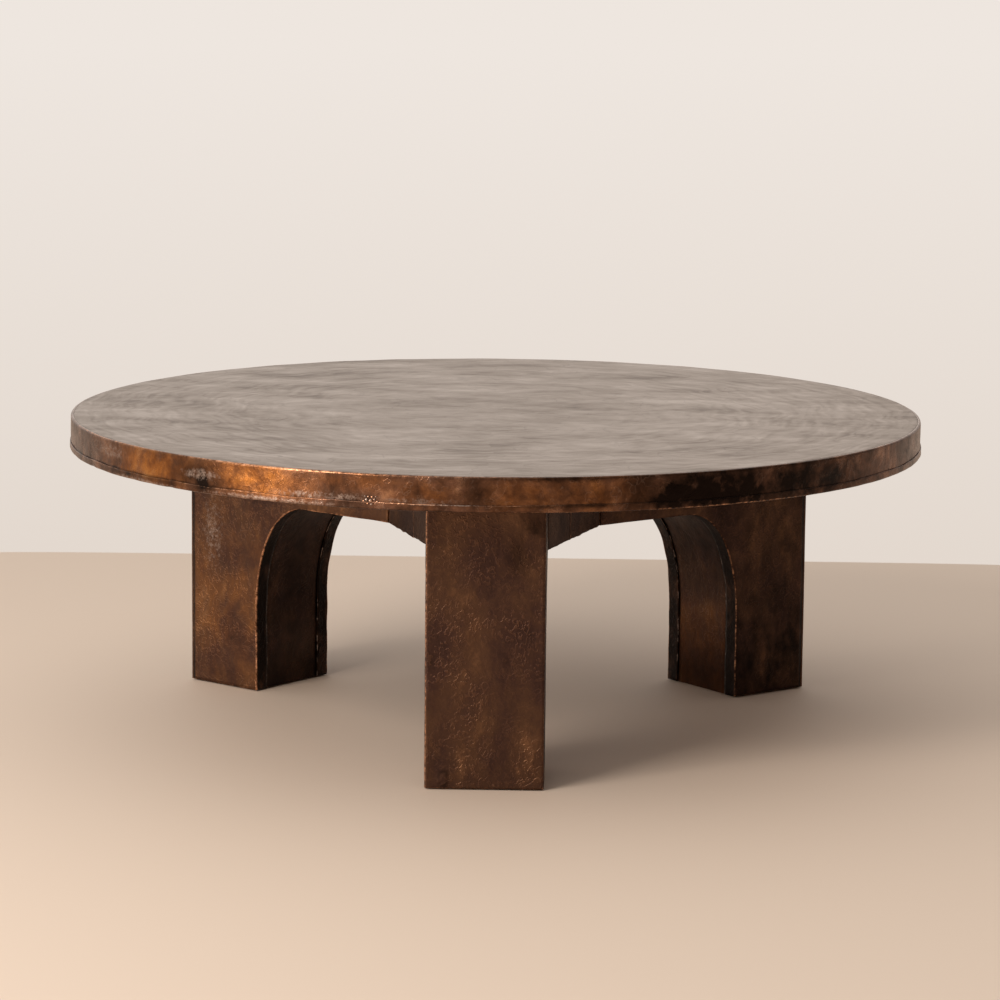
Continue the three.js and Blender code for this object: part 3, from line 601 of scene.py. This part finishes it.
# Each row is a bead's run along the rim, its rise, and its radius.
BEADS = [(0, 0, 2.3), (3.3, 1.1, 1.6), (-3.6, 0.7, 1.9), (1.2, 3.0, 1.5), (-2.0, 3.2, 1.3), (5.6, -0.6, 1.2),
         (-5.9, -0.4, 1.3), (3.9, -2.3, 1.1), (-4.6, 3.4, 0.9), (0.6, -2.9, 1.4), (4.6, 3.5, 0.8),
         (-2.7, -2.4, 1.1)]
SPATTER_BEARING, SPREAD = radians(-13.9), 1.6
BEAD_RADIUS_OUT = rim_radius + 1.2
for run, rise, radius in BEADS:
    angle = SPATTER_BEARING + SPREAD * run / rim_radius
    at = Vector((sin(angle) * BEAD_RADIUS_OUT, -cos(angle) * BEAD_RADIUS_OUT, HEM_LINE + SPREAD * rise))
    squash = Matrix.LocRotScale(at, Matrix.Rotation(angle, 3, "Z").to_quaternion(), (1.15, 0.6, 1.0))
    bmesh.ops.create_icosphere(bm, subdivisions=2, radius=radius, matrix=squash)
paint(bm, WORN_AND_HIGHLIT, lambda co: 1.1 * (flakes(co, 3, 8) > 0.5))
paint(bm, BLOOM_AND_SHEEN, lambda co: 2.2)
finish_sheet("rim_solder_beads", bm, WHOLE, rim_copper, [], 0)

# %% [markdown]
# ## The legs' outer sheets
# The outer face of a leg is one tall sheet, folded back round both corners. It starts as a single face, its
# two upright edges are extruded back, and those folds are bevelled round. Cutting it into small squares
# lets two sizes of dent be hammered in. The folds are rubbed a little bright, more on the front leg's left,
# which faces the key light, so the extra brightness there is partly a painted highlight.

# %% heights shared by the base
LEG_HALF_WIDTH, LEG_HALF_DEPTH, OUTER_RETURN, ROOM = 80.0, 67.0, 5.0, 0.3
FOLD_LINE = LEG_HALF_WIDTH - 1
BLISTER_ACROSS, BLISTER_UP = -55, 13
SHEET_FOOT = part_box("front_outer_sheet")[0].z / MM
BASE_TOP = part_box("front_outer_sheet")[1].z / MM
BEAM_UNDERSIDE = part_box("right_gusset_sheet")[0].z / MM
print("sheets run from", round(SHEET_FOOT, 1), "to", round(BASE_TOP, 1), "mm")
print("the arms start at", round(BEAM_UNDERSIDE, 1), "mm")


def boundary_where(bm, test):
    return [e for e in bm.edges if all(test(v.co) for v in e.verts)]


def folded_out(bm, edges, shift):
    made = bmesh.ops.extrude_edge_only(bm, edges=edges)["geom"]
    moved = [part for part in made if isinstance(part, bmesh.types.BMVert)]
    bmesh.ops.translate(bm, verts=moved, vec=shift)
    return moved


def round_folds(bm, edges, radius, segments=4):
    bmesh.ops.bevel(bm, geom=edges, offset=radius, offset_type="OFFSET", segments=segments, profile=0.5,
                    affect="EDGES", material=-1)


def face_outwards(bm, inside):
    bmesh.ops.recalc_face_normals(bm, faces=bm.faces)
    outward = sum(f.normal.dot(f.calc_center_median() - inside) * f.calc_area() for f in bm.faces)
    if outward < 0:
        bmesh.ops.reverse_faces(bm, faces=bm.faces)


# %% outer sheets
for order, (leg, place) in enumerate(legs.items()):
    bm = bmesh.new()
    ring = [(LEG_HALF_DEPTH, -LEG_HALF_WIDTH, SHEET_FOOT), (LEG_HALF_DEPTH, LEG_HALF_WIDTH, SHEET_FOOT),
            (LEG_HALF_DEPTH, LEG_HALF_WIDTH, BASE_TOP), (LEG_HALF_DEPTH, -LEG_HALF_WIDTH, BASE_TOP)]
    bm.faces.new([bm.verts.new(corner) for corner in ring])
    for side in (-1, 1):
        upright = boundary_where(bm, lambda co: abs(co.y - side * LEG_HALF_WIDTH) < 0.1
                                 and abs(co.x - LEG_HALF_DEPTH) < 0.1)
        folded_out(bm, upright, (-OUTER_RETURN, 0, 0))
    corners = [e for e in bm.edges if len(e.link_faces) == 2]
    round_folds(bm, corners, 3.6)
    face_outwards(bm, Vector((0, 0, 200)))
    cut_into_squares(bm, (0, 5, 5))
    flat = lambda co: min(1.0, max(0.0, (LEG_HALF_WIDTH - abs(co.y)) / 8))
    dent(bm, 0.7, 70, 11 + order, flat)
    dent(bm, 0.35, 21, 17 + order, flat)
    for v in (v for v in bm.verts if abs(v.co.y) > LEG_HALF_WIDTH - 8):
        bow = 0.9 * noise.noise(Vector((v.co.z / 70, 0.3, 30 + order)))
        v.co.y += copysign(1, v.co.y) * (bow * 0.5 - 0.25)
    # The front leg's left fold, facing the key light, gets twice the wear of its right: partly rubbing,
    # partly a painted highlight.
    left_fold, right_fold = (0.62, 0.3) if leg == "front" else (0.25, 0.25)
    folds = lambda co: left_fold * near(co.y + FOLD_LINE, 1.2) + right_fold * near(co.y - FOLD_LINE, 1.2)
    paint(bm, WORN_AND_HIGHLIT, lambda co: folds(co) + 0.35 * near(co.z - SHEET_FOOT, 2.5))
    # Darker in a band just under the top: painted shade in the corner where the leg meets the top.
    paint(bm, GRIME_AND_SHADE, lambda co: 0.5 * near(co.z - BASE_TOP, 6))
    if leg == "front":
        # A blister by the foot, with a dark ring painted round it as the painted shade of its edge, and the
        # upper right corner painted dark as the painted shadow of the round top, with a softer darker patch
        # lower down.
        for v in bm.verts:
            across, up = v.co.y - BLISTER_ACROSS, v.co.z - SHEET_FOOT - BLISTER_UP
            v.co.x += 1.6 * near(across, 6) * near(up, 9) * (abs(v.co.y) < FOLD_LINE)
        blister = lambda co: hypot((co.y - BLISTER_ACROSS) / 6, (co.z - SHEET_FOOT - BLISTER_UP) / 9)
        top_shadow_patch = lambda co: hypot((LEG_HALF_WIDTH - co.y) / 38, (BASE_TOP - 22 - co.z) / 32)
        lower_right_darkening = lambda co: near(co.y - 45, 30) * near(co.z - BASE_TOP + 85, 40)
        paint(bm, SOOT_AND_SHADE, lambda co: 0.5 * near(max(0.0, top_shadow_patch(co) - 0.9), 0.1)
              + 0.45 * lower_right_darkening(co) + 0.6 * near(blister(co) - 1.2, 0.4))
    finish_sheet(f"{leg}_leg_outer_copper", bm, place, leg_copper, [f"{leg}_outer_sheet"])

# %% [markdown]
# ## The side sheets
# Each side sheet covers the leg's side, follows the arch and runs in along the arm. Its arched edge is
# folded over to hold the sheet below, and that fold is where hands and feet rub, so it is a bright line.
# The arch is drawn as a row of points. The lower half of the row is swept forward to fill the leg, the upper
# half is swept up to fill the arm, and the whole row is swept across to make the fold. The arched edge
# wanders a little, as it was cut by hand. The folded edge lies on the leg's inner face, under the arch, and
# is painted near black with soot as painted shade. The faces get a little soot, partly real and partly
# painted shade on the sheets turned from the key light.

# %% arch line
ARCH_REACH, ARCH_RISE, ARCH_POWER, FOLD = 94.0, 162.0, 0.94, 24.0
ARCH_END = -LEG_HALF_DEPTH - ARCH_REACH
ARCH_SPRING = BEAM_UNDERSIDE - ARCH_RISE
ARCH_POINTS = 28


def arch_line():
    line = [(-LEG_HALF_DEPTH, SHEET_FOOT), (-LEG_HALF_DEPTH, ARCH_SPRING)]
    for i in range(1, ARCH_POINTS):
        angle = pi / 2 * i / ARCH_POINTS
        line.append((ARCH_END + ARCH_REACH * cos(angle) ** ARCH_POWER,
                     ARCH_SPRING + ARCH_RISE * sin(angle) ** ARCH_POWER))
    return line + [(ARCH_END, BEAM_UNDERSIDE)]


def arch_distance(co):
    # How far a point of a side sheet is from the arched edge, measured in the sheet.
    if co.z < ARCH_SPRING:
        return abs(co.x + LEG_HALF_DEPTH)
    if co.x < ARCH_END:
        return abs(co.z - BEAM_UNDERSIDE)
    u, w = (co.x - ARCH_END) / ARCH_REACH, (co.z - ARCH_SPRING) / ARCH_RISE
    bulge = 2 / ARCH_POWER
    radius = (max(u, 0.0) ** bulge + w ** bulge) ** (1 / bulge)
    slope = hypot(u / ARCH_REACH, w / ARCH_RISE) / max(hypot(u, w), 1e-6)
    return abs(radius - 1) / max(slope, 1e-6)


# %% side sheet maker
def side_sheet(name, place, side, inner_end, seed, edge_wear, flame, soot_and_shade, nodes):
    bm = bmesh.new()
    y = side * LEG_HALF_WIDTH
    arm = [(inner_end, BEAM_UNDERSIDE)] if inner_end < ARCH_END else []
    line = [bm.verts.new((x, y, z)) for x, z in arch_line() + arm]
    arch_edges = [bm.edges.new(pair) for pair in zip(line, line[1:])]
    front_line = LEG_HALF_DEPTH - OUTER_RETURN
    turn_height = arch_line()[ARCH_POINTS // 2 + 1][1]
    for v in folded_out(bm, arch_edges, (0, 0, 0)):
        # The row's middle point belongs to both halves, and becomes the sheet's upper front corner.
        above = v.co.z - turn_height
        if above < ROOM:
            v.co.x = front_line - ROOM
        if above > -ROOM:
            v.co.z = BASE_TOP
    folded_out(bm, arch_edges, (0, -side * FOLD, 0))
    round_folds(bm, arch_edges, 2.0, 3)
    face_outwards(bm, Vector((-40, 0, 320)))
    cut_into_squares(bm, (7, 3.5, 7))
    for v in bm.verts:
        hold = near(arch_distance(v.co), 10)
        v.co.x += hold * 1.5 * noise.noise(Vector((v.co.z / 30, v.co.x / 40, seed)))
        v.co.z += hold * 1.0 * noise.noise(Vector((v.co.x / 34, v.co.z / 60, seed + 5))) * (v.co.z > 60)
    inset = lambda co: min(1.0, arch_distance(co) / 12 + 0.15)
    dent(bm, 0.6, 60, seed, inset)
    dent(bm, 0.25, 18, seed + 3, inset)
    on_face = lambda co: near(max(0.0, LEG_HALF_WIDTH - abs(co.y)), 2.2)
    at_fold = lambda co: near(arch_distance(co), 1.6) * on_face(co)
    paint(bm, WORN_AND_HIGHLIT, lambda co: edge_wear * at_fold(co) * (0.75 + 0.5 * flakes(co, 60, seed))
          + 0.4 * near(co.z - SHEET_FOOT, 2.0) * on_face(co))
    dashes = lambda co: near(abs(co.y) - (LEG_HALF_WIDTH - FOLD), 1.4) * (flakes(co, 16, seed) > 0.45)
    scuffs = lambda co: near(co.x - 22, 30) * near(co.z - 230, 90)
    paint(bm, BLOOM_AND_SHEEN, lambda co: 1.15 * dashes(co) + 2.6 * flame * scuffs(co))
    # Grime along the seam by the front fold, painted shade in a band just under the top, and grime beside the
    # folded edge.
    paint(bm, GRIME_AND_SHADE, lambda co: 0.95 * near(front_line - co.x, 2.2) + 0.5 * near(BASE_TOP - co.z, 8)
          + 0.35 * (1 - on_face(co)) * near(abs(co.y) - LEG_HALF_WIDTH, 6))
    paint(bm, FLAMED, lambda co: flame * on_face(co) * (0.6 + 0.6 * near(co.z - 110, 120)))
    # Soot on the faces, partly painted shade on the sheets turned from the key light, and near black on the
    # folded edge under the arch as painted shade.
    paint(bm, SOOT_AND_SHADE, lambda co: max(soot_and_shade * (0.8 + 0.5 * near(co.z - 50, 110)), 0.95 * (1 - on_face(co))))
    finish_sheet(name, bm, place, leg_copper, nodes)


# %% side sheets
right_leg_inverse = legs["right"].inverted()
hub_corner_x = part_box("right_gusset_sheet")[1].x
step = right_leg_inverse.to_3x3() @ Vector((0, 1, 0))
start = right_leg_inverse @ Vector((hub_corner_x, 0, 0))
hub_corner_local = start + step * ((-LEG_HALF_WIDTH * MM - start.y) / step.y)
hub_corner = legs["right"] @ hub_corner_local
start = right_leg_inverse @ Vector((0, 0, 0))
rear_corner_local = start + step * ((LEG_HALF_WIDTH * MM - start.y) / step.y)
near_end = hub_corner_local.x / MM + ROOM
far_end = rear_corner_local.x / MM + ROOM
print("hub corner", [round(c, 4) for c in hub_corner.xy])
print("side sheets end at", round(near_end, 1), "and", round(far_end, 1), "mm along a rear arm")
# The edge wear, torch and soot columns are partly painted light: the left leg's near sheet, turned to the key
# light, gets more wear and torch colour, and the sheets turned away, the front leg's right and the right
# leg's near side, more soot as painted shade.
SIDE_SHEETS = [
    # name, leg, side, inner end, seed, edge wear, torch, soot, node
    ("front_leg_left_copper", "front", -1, ARCH_END, 21, 0.8, 0.0, 0.3, "front_side_sheet_left"),
    ("front_leg_right_copper", "front", 1, ARCH_END, 23, 0.8, 0.0, 0.5, "front_side_sheet_right"),
    ("left_leg_near_copper", "left", 1, near_end, 25, 1.25, 0.3, 0.0, "left_side_sheet_near"),
    ("left_leg_far_copper", "left", -1, far_end, 27, 0.9, 0.0, 0.2, "left_side_sheet_far"),
    ("right_leg_near_copper", "right", -1, near_end, 29, 0.62, 0.1, 0.55, "right_side_sheet_near"),
    ("right_leg_far_copper", "right", 1, far_end, 31, 0.9, 0.1, 0.2, "right_side_sheet_far"),
]
for name, leg, *drawn, cad_node in SIDE_SHEETS:
    side_sheet(name, legs[leg], *drawn, [cad_node])

# %% [markdown]
# ## The arch sheets
# Between the two folded edges a narrower sheet lines the leg's inner face and the arch, tucked under both
# folds. It is the arch line again, pushed in behind the folds and swept across the leg. It lies in the shade
# under the arch and is painted dark with soot all over as painted shade, with a faint raised line beside each
# fold where it was pressed down. On the right leg, whose inner face is turned to the key light, it is painted
# redder and less sooty near the foot, as painted light.

# %% arch sheets
SEAM = LEG_HALF_WIDTH - FOLD - 7
ARCH_HALF_WIDTH, TUCK = 78.2, 1.8
for order, (leg, place) in enumerate(legs.items()):
    bm = bmesh.new()
    line = [bm.verts.new((x, -ARCH_HALF_WIDTH, z)) for x, z in arch_line()]
    edges = [bm.edges.new(pair) for pair in zip(line, line[1:])]
    folded_out(bm, edges, (0, 2 * ARCH_HALF_WIDTH, 0))
    cut_into_squares(bm, (0, 4, 0))
    bmesh.ops.recalc_face_normals(bm, faces=bm.faces)
    if sum(f.normal.x for f in bm.faces) > 0:
        bmesh.ops.reverse_faces(bm, faces=bm.faces)
    bm.normal_update()
    for v, push in [(v, v.normal * -TUCK) for v in bm.verts]:
        v.co += push
    dent(bm, 0.5, 50, 41 + order)
    dent(bm, 0.25, 15, 43 + order)
    for v, push in [(v, v.normal * 0.5 * near(abs(v.co.y) - SEAM, 1.5)) for v in bm.verts]:
        v.co += push
    paint(bm, GRIME_AND_SHADE, lambda co: 0.9 * near(abs(co.y) - LEG_HALF_WIDTH + FOLD, 3))
    paint(bm, BLOOM_AND_SHEEN, lambda co: 0.9 * near(abs(co.y) - SEAM, 1.5) * (flakes(co, 16, 7 + order) > 0.55))
    # Soot all over as painted shade under the arch, less near the right leg's foot, which is painted redder
    # there as painted light.
    paint(bm, SOOT_AND_SHADE, lambda co: 0.6 - 0.5 * near(co.z - 60, 110) if leg == "right" else 0.55)
    paint(bm, FLAMED, lambda co: 0.95 * near(co.z - 50, 75) * (leg == "right"))
    finish_sheet(f"{leg}_leg_arch_copper", bm, place, leg_copper, [f"{leg}_arch_sheet"])

# %% [markdown]
# ## The gussets and the hub
# Where the front arm spreads into the hub, a plain sheet with a folded lower edge covers each side. It is
# made of two strips lapped at an upright seam, and it laps the next sheet at the corner, so there is a pale
# rubbed line at each. One face is folded and bevelled as before, with a small step pressed at the lap.

# %% gusset sheets
flare = legs["front"] @ (Vector((ARCH_END, LEG_HALF_WIDTH, 0)) * MM)
run = hub_corner - flare
gusset_length = run.length / MM
gusset_turn = atan2(run.y, run.x)
LAP, LAP_STEP = gusset_length * 0.42, 0.8
for side in (1, -1):
    bm = bmesh.new()
    ring = [(ROOM, 0, BEAM_UNDERSIDE), (gusset_length - ROOM, 0, BEAM_UNDERSIDE),
            (gusset_length - ROOM, 0, BASE_TOP), (ROOM, 0, BASE_TOP)]
    bm.faces.new([bm.verts.new(corner) for corner in ring])
    low = boundary_where(bm, lambda co: abs(co.z - BEAM_UNDERSIDE) < 0.1)
    folded_out(bm, low, (0, FOLD, 0))
    round_folds(bm, [e for e in bm.edges if len(e.link_faces) == 2], 2.0, 3)
    face_outwards(bm, Vector((gusset_length / 2, 20, 330)))
    cut_into_squares(bm, (6, 3.5, 6))
    for cut in (LAP, LAP + LAP_STEP):
        bmesh.ops.bisect_plane(bm, geom=bm.verts[:] + bm.edges[:] + bm.faces[:], dist=0.01,
                               plane_co=(cut, 0, 0), plane_no=(1, 0, 0))
    dent(bm, 0.35, 45, 51 + side)
    for v in bm.verts:
        waver = noise.noise(Vector((v.co.x / 16, v.co.y / 30, 61 + side)))
        v.co.z += 1.7 * waver * near(v.co.z - BEAM_UNDERSIDE, 14)
    for v in bm.verts:
        if v.co.x > LAP + LAP_STEP / 2 and v.co.y < 1:
            v.co.y += 0.9
        if v.co.x < LAP + LAP_STEP / 2:
            v.co.z += 0.8 * max(0.0, 1 - (v.co.z - BEAM_UNDERSIDE) / 40)
    paint(bm, WORN_AND_HIGHLIT, lambda co: 0.9 * near(co.x - LAP - LAP_STEP, 1.5) + 0.9 * near(gusset_length - co.x, 1.8)
          + 0.6 * near(co.z - BEAM_UNDERSIDE, 1.6) * (co.y < 1.5))
    # Grime beside the seam at the flare, and painted shade in a band just under the top.
    paint(bm, GRIME_AND_SHADE, lambda co: 0.8 * near(co.x, 5) + 0.5 * near(BASE_TOP - co.z, 10))
    # The right gusset, turned from the key light, gets a little soot, partly painted shade; the left gets
    # none.
    paint(bm, SOOT_AND_SHADE, lambda co: 0.0 if side < 0 else 0.25)
    place = Matrix.Translation(flare) @ Matrix.Rotation(gusset_turn, 4, "Z")
    if side < 0:
        place = Matrix.Scale(-1, 4, (1, 0, 0)) @ place
        bmesh.ops.reverse_faces(bm, faces=bm.faces)
    word = "right" if side > 0 else "left"
    finish_sheet(f"{word}_gusset_copper", bm, place, leg_copper, [f"{word}_gusset_sheet"])

# %% hub soffit
# The sheet under the hub is flat and in shadow, so the CAD's own sheet stays and only gets its copper.
dress("hub_soffit_sheet", leg_copper)
print("soffit kept from the frame, in", leg_copper.name)

# %% [markdown]
# ## The floor and the light
# A metal shows its surroundings, so the room matters as much as the finish. The floor is plain and pale, and
# a plain pale wall stands all round it, 1.27 m from the table's middle. The wall glows by itself and is only
# for the camera's eye. It is clear from behind, so a view from any side looks in past its near part. What
# the copper reflects is a soft world of light that is bright on the left and dim on the right, with a large
# softbox high on the left in front, as a studio would light a dark metal piece to show its folds, and a
# weaker one low on the same side for the legs, which the top would leave in shadow.

# %% floor
FLOOR_RADIUS, FLOOR_SIDES, MATT = 16.0, 96, 0.7


def plain_finish(name, chart):
    made, tree = empty_finish(name)
    shader = node(tree, "BsdfPrincipled", {"Base Color": linear(chart), "Roughness": MATT})
    node(tree, "OutputMaterial", links={"Surface": shader.outputs[0]})
    return made


bm = bmesh.new()
bmesh.ops.create_circle(bm, cap_ends=True, segments=FLOOR_SIDES, radius=FLOOR_RADIUS)
floor = as_object("studio_floor", bm, plain_finish("pale_studio_floor", "#D5C5B6"))
floor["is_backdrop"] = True

# %% rounded wall
def one_sided_glow(name, low_chart, high_chart, height):
    # A plain glow that pales upwards, drawn only from its front, so a camera behind it sees through.
    made, tree = empty_finish(name)
    up = node(tree, "SeparateXYZ", links={"Vector": node(tree, "TexCoord").outputs["Object"]})
    climb = node(tree, "MapRange", {"From Min": 0.0, "From Max": height}, {"Value": up.outputs["Z"]})
    tint = node(tree, "ValToRGB", links={"Fac": climb.outputs[0]},
                stops=[(0.0, low_chart), (1.0, high_chart)])
    glow = node(tree, "Emission", links={"Color": tint.outputs[0]})
    clear = node(tree, "BsdfTransparent")
    back = node(tree, "NewGeometry").outputs["Backfacing"]
    both = node(tree, "MixShader", links={0: back, 1: glow.outputs[0], 2: clear.outputs[0]})
    node(tree, "OutputMaterial", links={"Surface": both.outputs[0]})
    return made


WALL_REACH, WALL_HEIGHT, WALL_STEPS, CORNER_POWER = 1.27, 4.0, 240, 0.25
bm = bmesh.new()
turns = [2 * pi * i / WALL_STEPS for i in range(WALL_STEPS)]
ring = [bm.verts.new((WALL_REACH * copysign(abs(cos(a)) ** CORNER_POWER, cos(a)),
                      WALL_REACH * copysign(abs(sin(a)) ** CORNER_POWER, sin(a)), 0)) for a in turns]
skirting = [bm.edges.new(pair) for pair in zip(ring, ring[1:] + ring[:1])]
folded_out(bm, skirting, (0, 0, WALL_HEIGHT))
bmesh.ops.recalc_face_normals(bm, faces=bm.faces)
if sum(f.normal.dot(f.calc_center_median()) for f in bm.faces) > 0:
    bmesh.ops.reverse_faces(bm, faces=bm.faces)
studio_wall = as_object("studio_wall", bm, one_sided_glow("pale_studio_wall", "#E3D8CE", "#EEE6DF", 0.9))
for ray in ("diffuse", "glossy", "transmission", "volume_scatter", "shadow"):
    setattr(studio_wall, f"visible_{ray}", False)
studio_wall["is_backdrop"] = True

# %% world light
world = bpy.data.worlds.new("soft_studio")
bpy.context.scene.world = world
world.use_nodes = True
sky = world.node_tree
sky.nodes.clear()
way = node(sky, "TexCoord").outputs["Generated"]
TOWARDS_LIGHT = Vector((-0.75, 0.35, 0.55)).normalized()
facing = node(sky, "VectorMath", {1: TOWARDS_LIGHT}, {0: way}, operation="DOT_PRODUCT")
share = node(sky, "MapRange", {"From Min": -1.0, "From Max": 1.0}, {"Value": facing.outputs["Value"]})
SHADES = [(0.0, "#352E2E"), (0.2, "#5E5450"), (0.35, "#9A8D86"), (0.62, "#EFE4DA"), (1.0, "#FFFAF4")]
shade = node(sky, "ValToRGB", links={"Fac": share.outputs[0]}, stops=SHADES)
backdrop = node(sky, "Background", {"Strength": 0.95}, {"Color": shade.outputs[0]})
node(sky, "OutputWorld", links={"Surface": backdrop.outputs[0]})

# %% softbox
def softbox(name, place, target, size, watts, chart):
    lamp = bpy.data.lights.new(name, "AREA")
    lamp.shape, lamp.size, lamp.size_y = "RECTANGLE", size[0], size[1]
    lamp.energy, lamp.color = watts, linear(chart)[:3]
    box = bpy.data.objects.new(name, lamp)
    aim = (Vector(target) - Vector(place)).to_track_quat("-Z", "Y")
    box.matrix_world = Matrix.Translation(place) @ aim.to_matrix().to_4x4()
    box.visible_camera = False
    bpy.context.scene.collection.objects.link(box)


softbox("key_softbox", (-2.6, -3.0, 2.4), (0, 0, 0.3), (1.6, 1.6), 110, "#FFF3E6")
softbox("low_softbox", (-3.0, -2.2, 0.75), (-0.3, -0.5, 0.4), (1.0, 1.1), 24, "#FFF3E6")
bpy.context.scene.view_settings.view_transform = "Standard"
print("lights and floor ready")

# %% the size, then the end
low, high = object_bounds()
print("visual box", [round(x, 4) for x in low], [round(x, 4) for x in high])
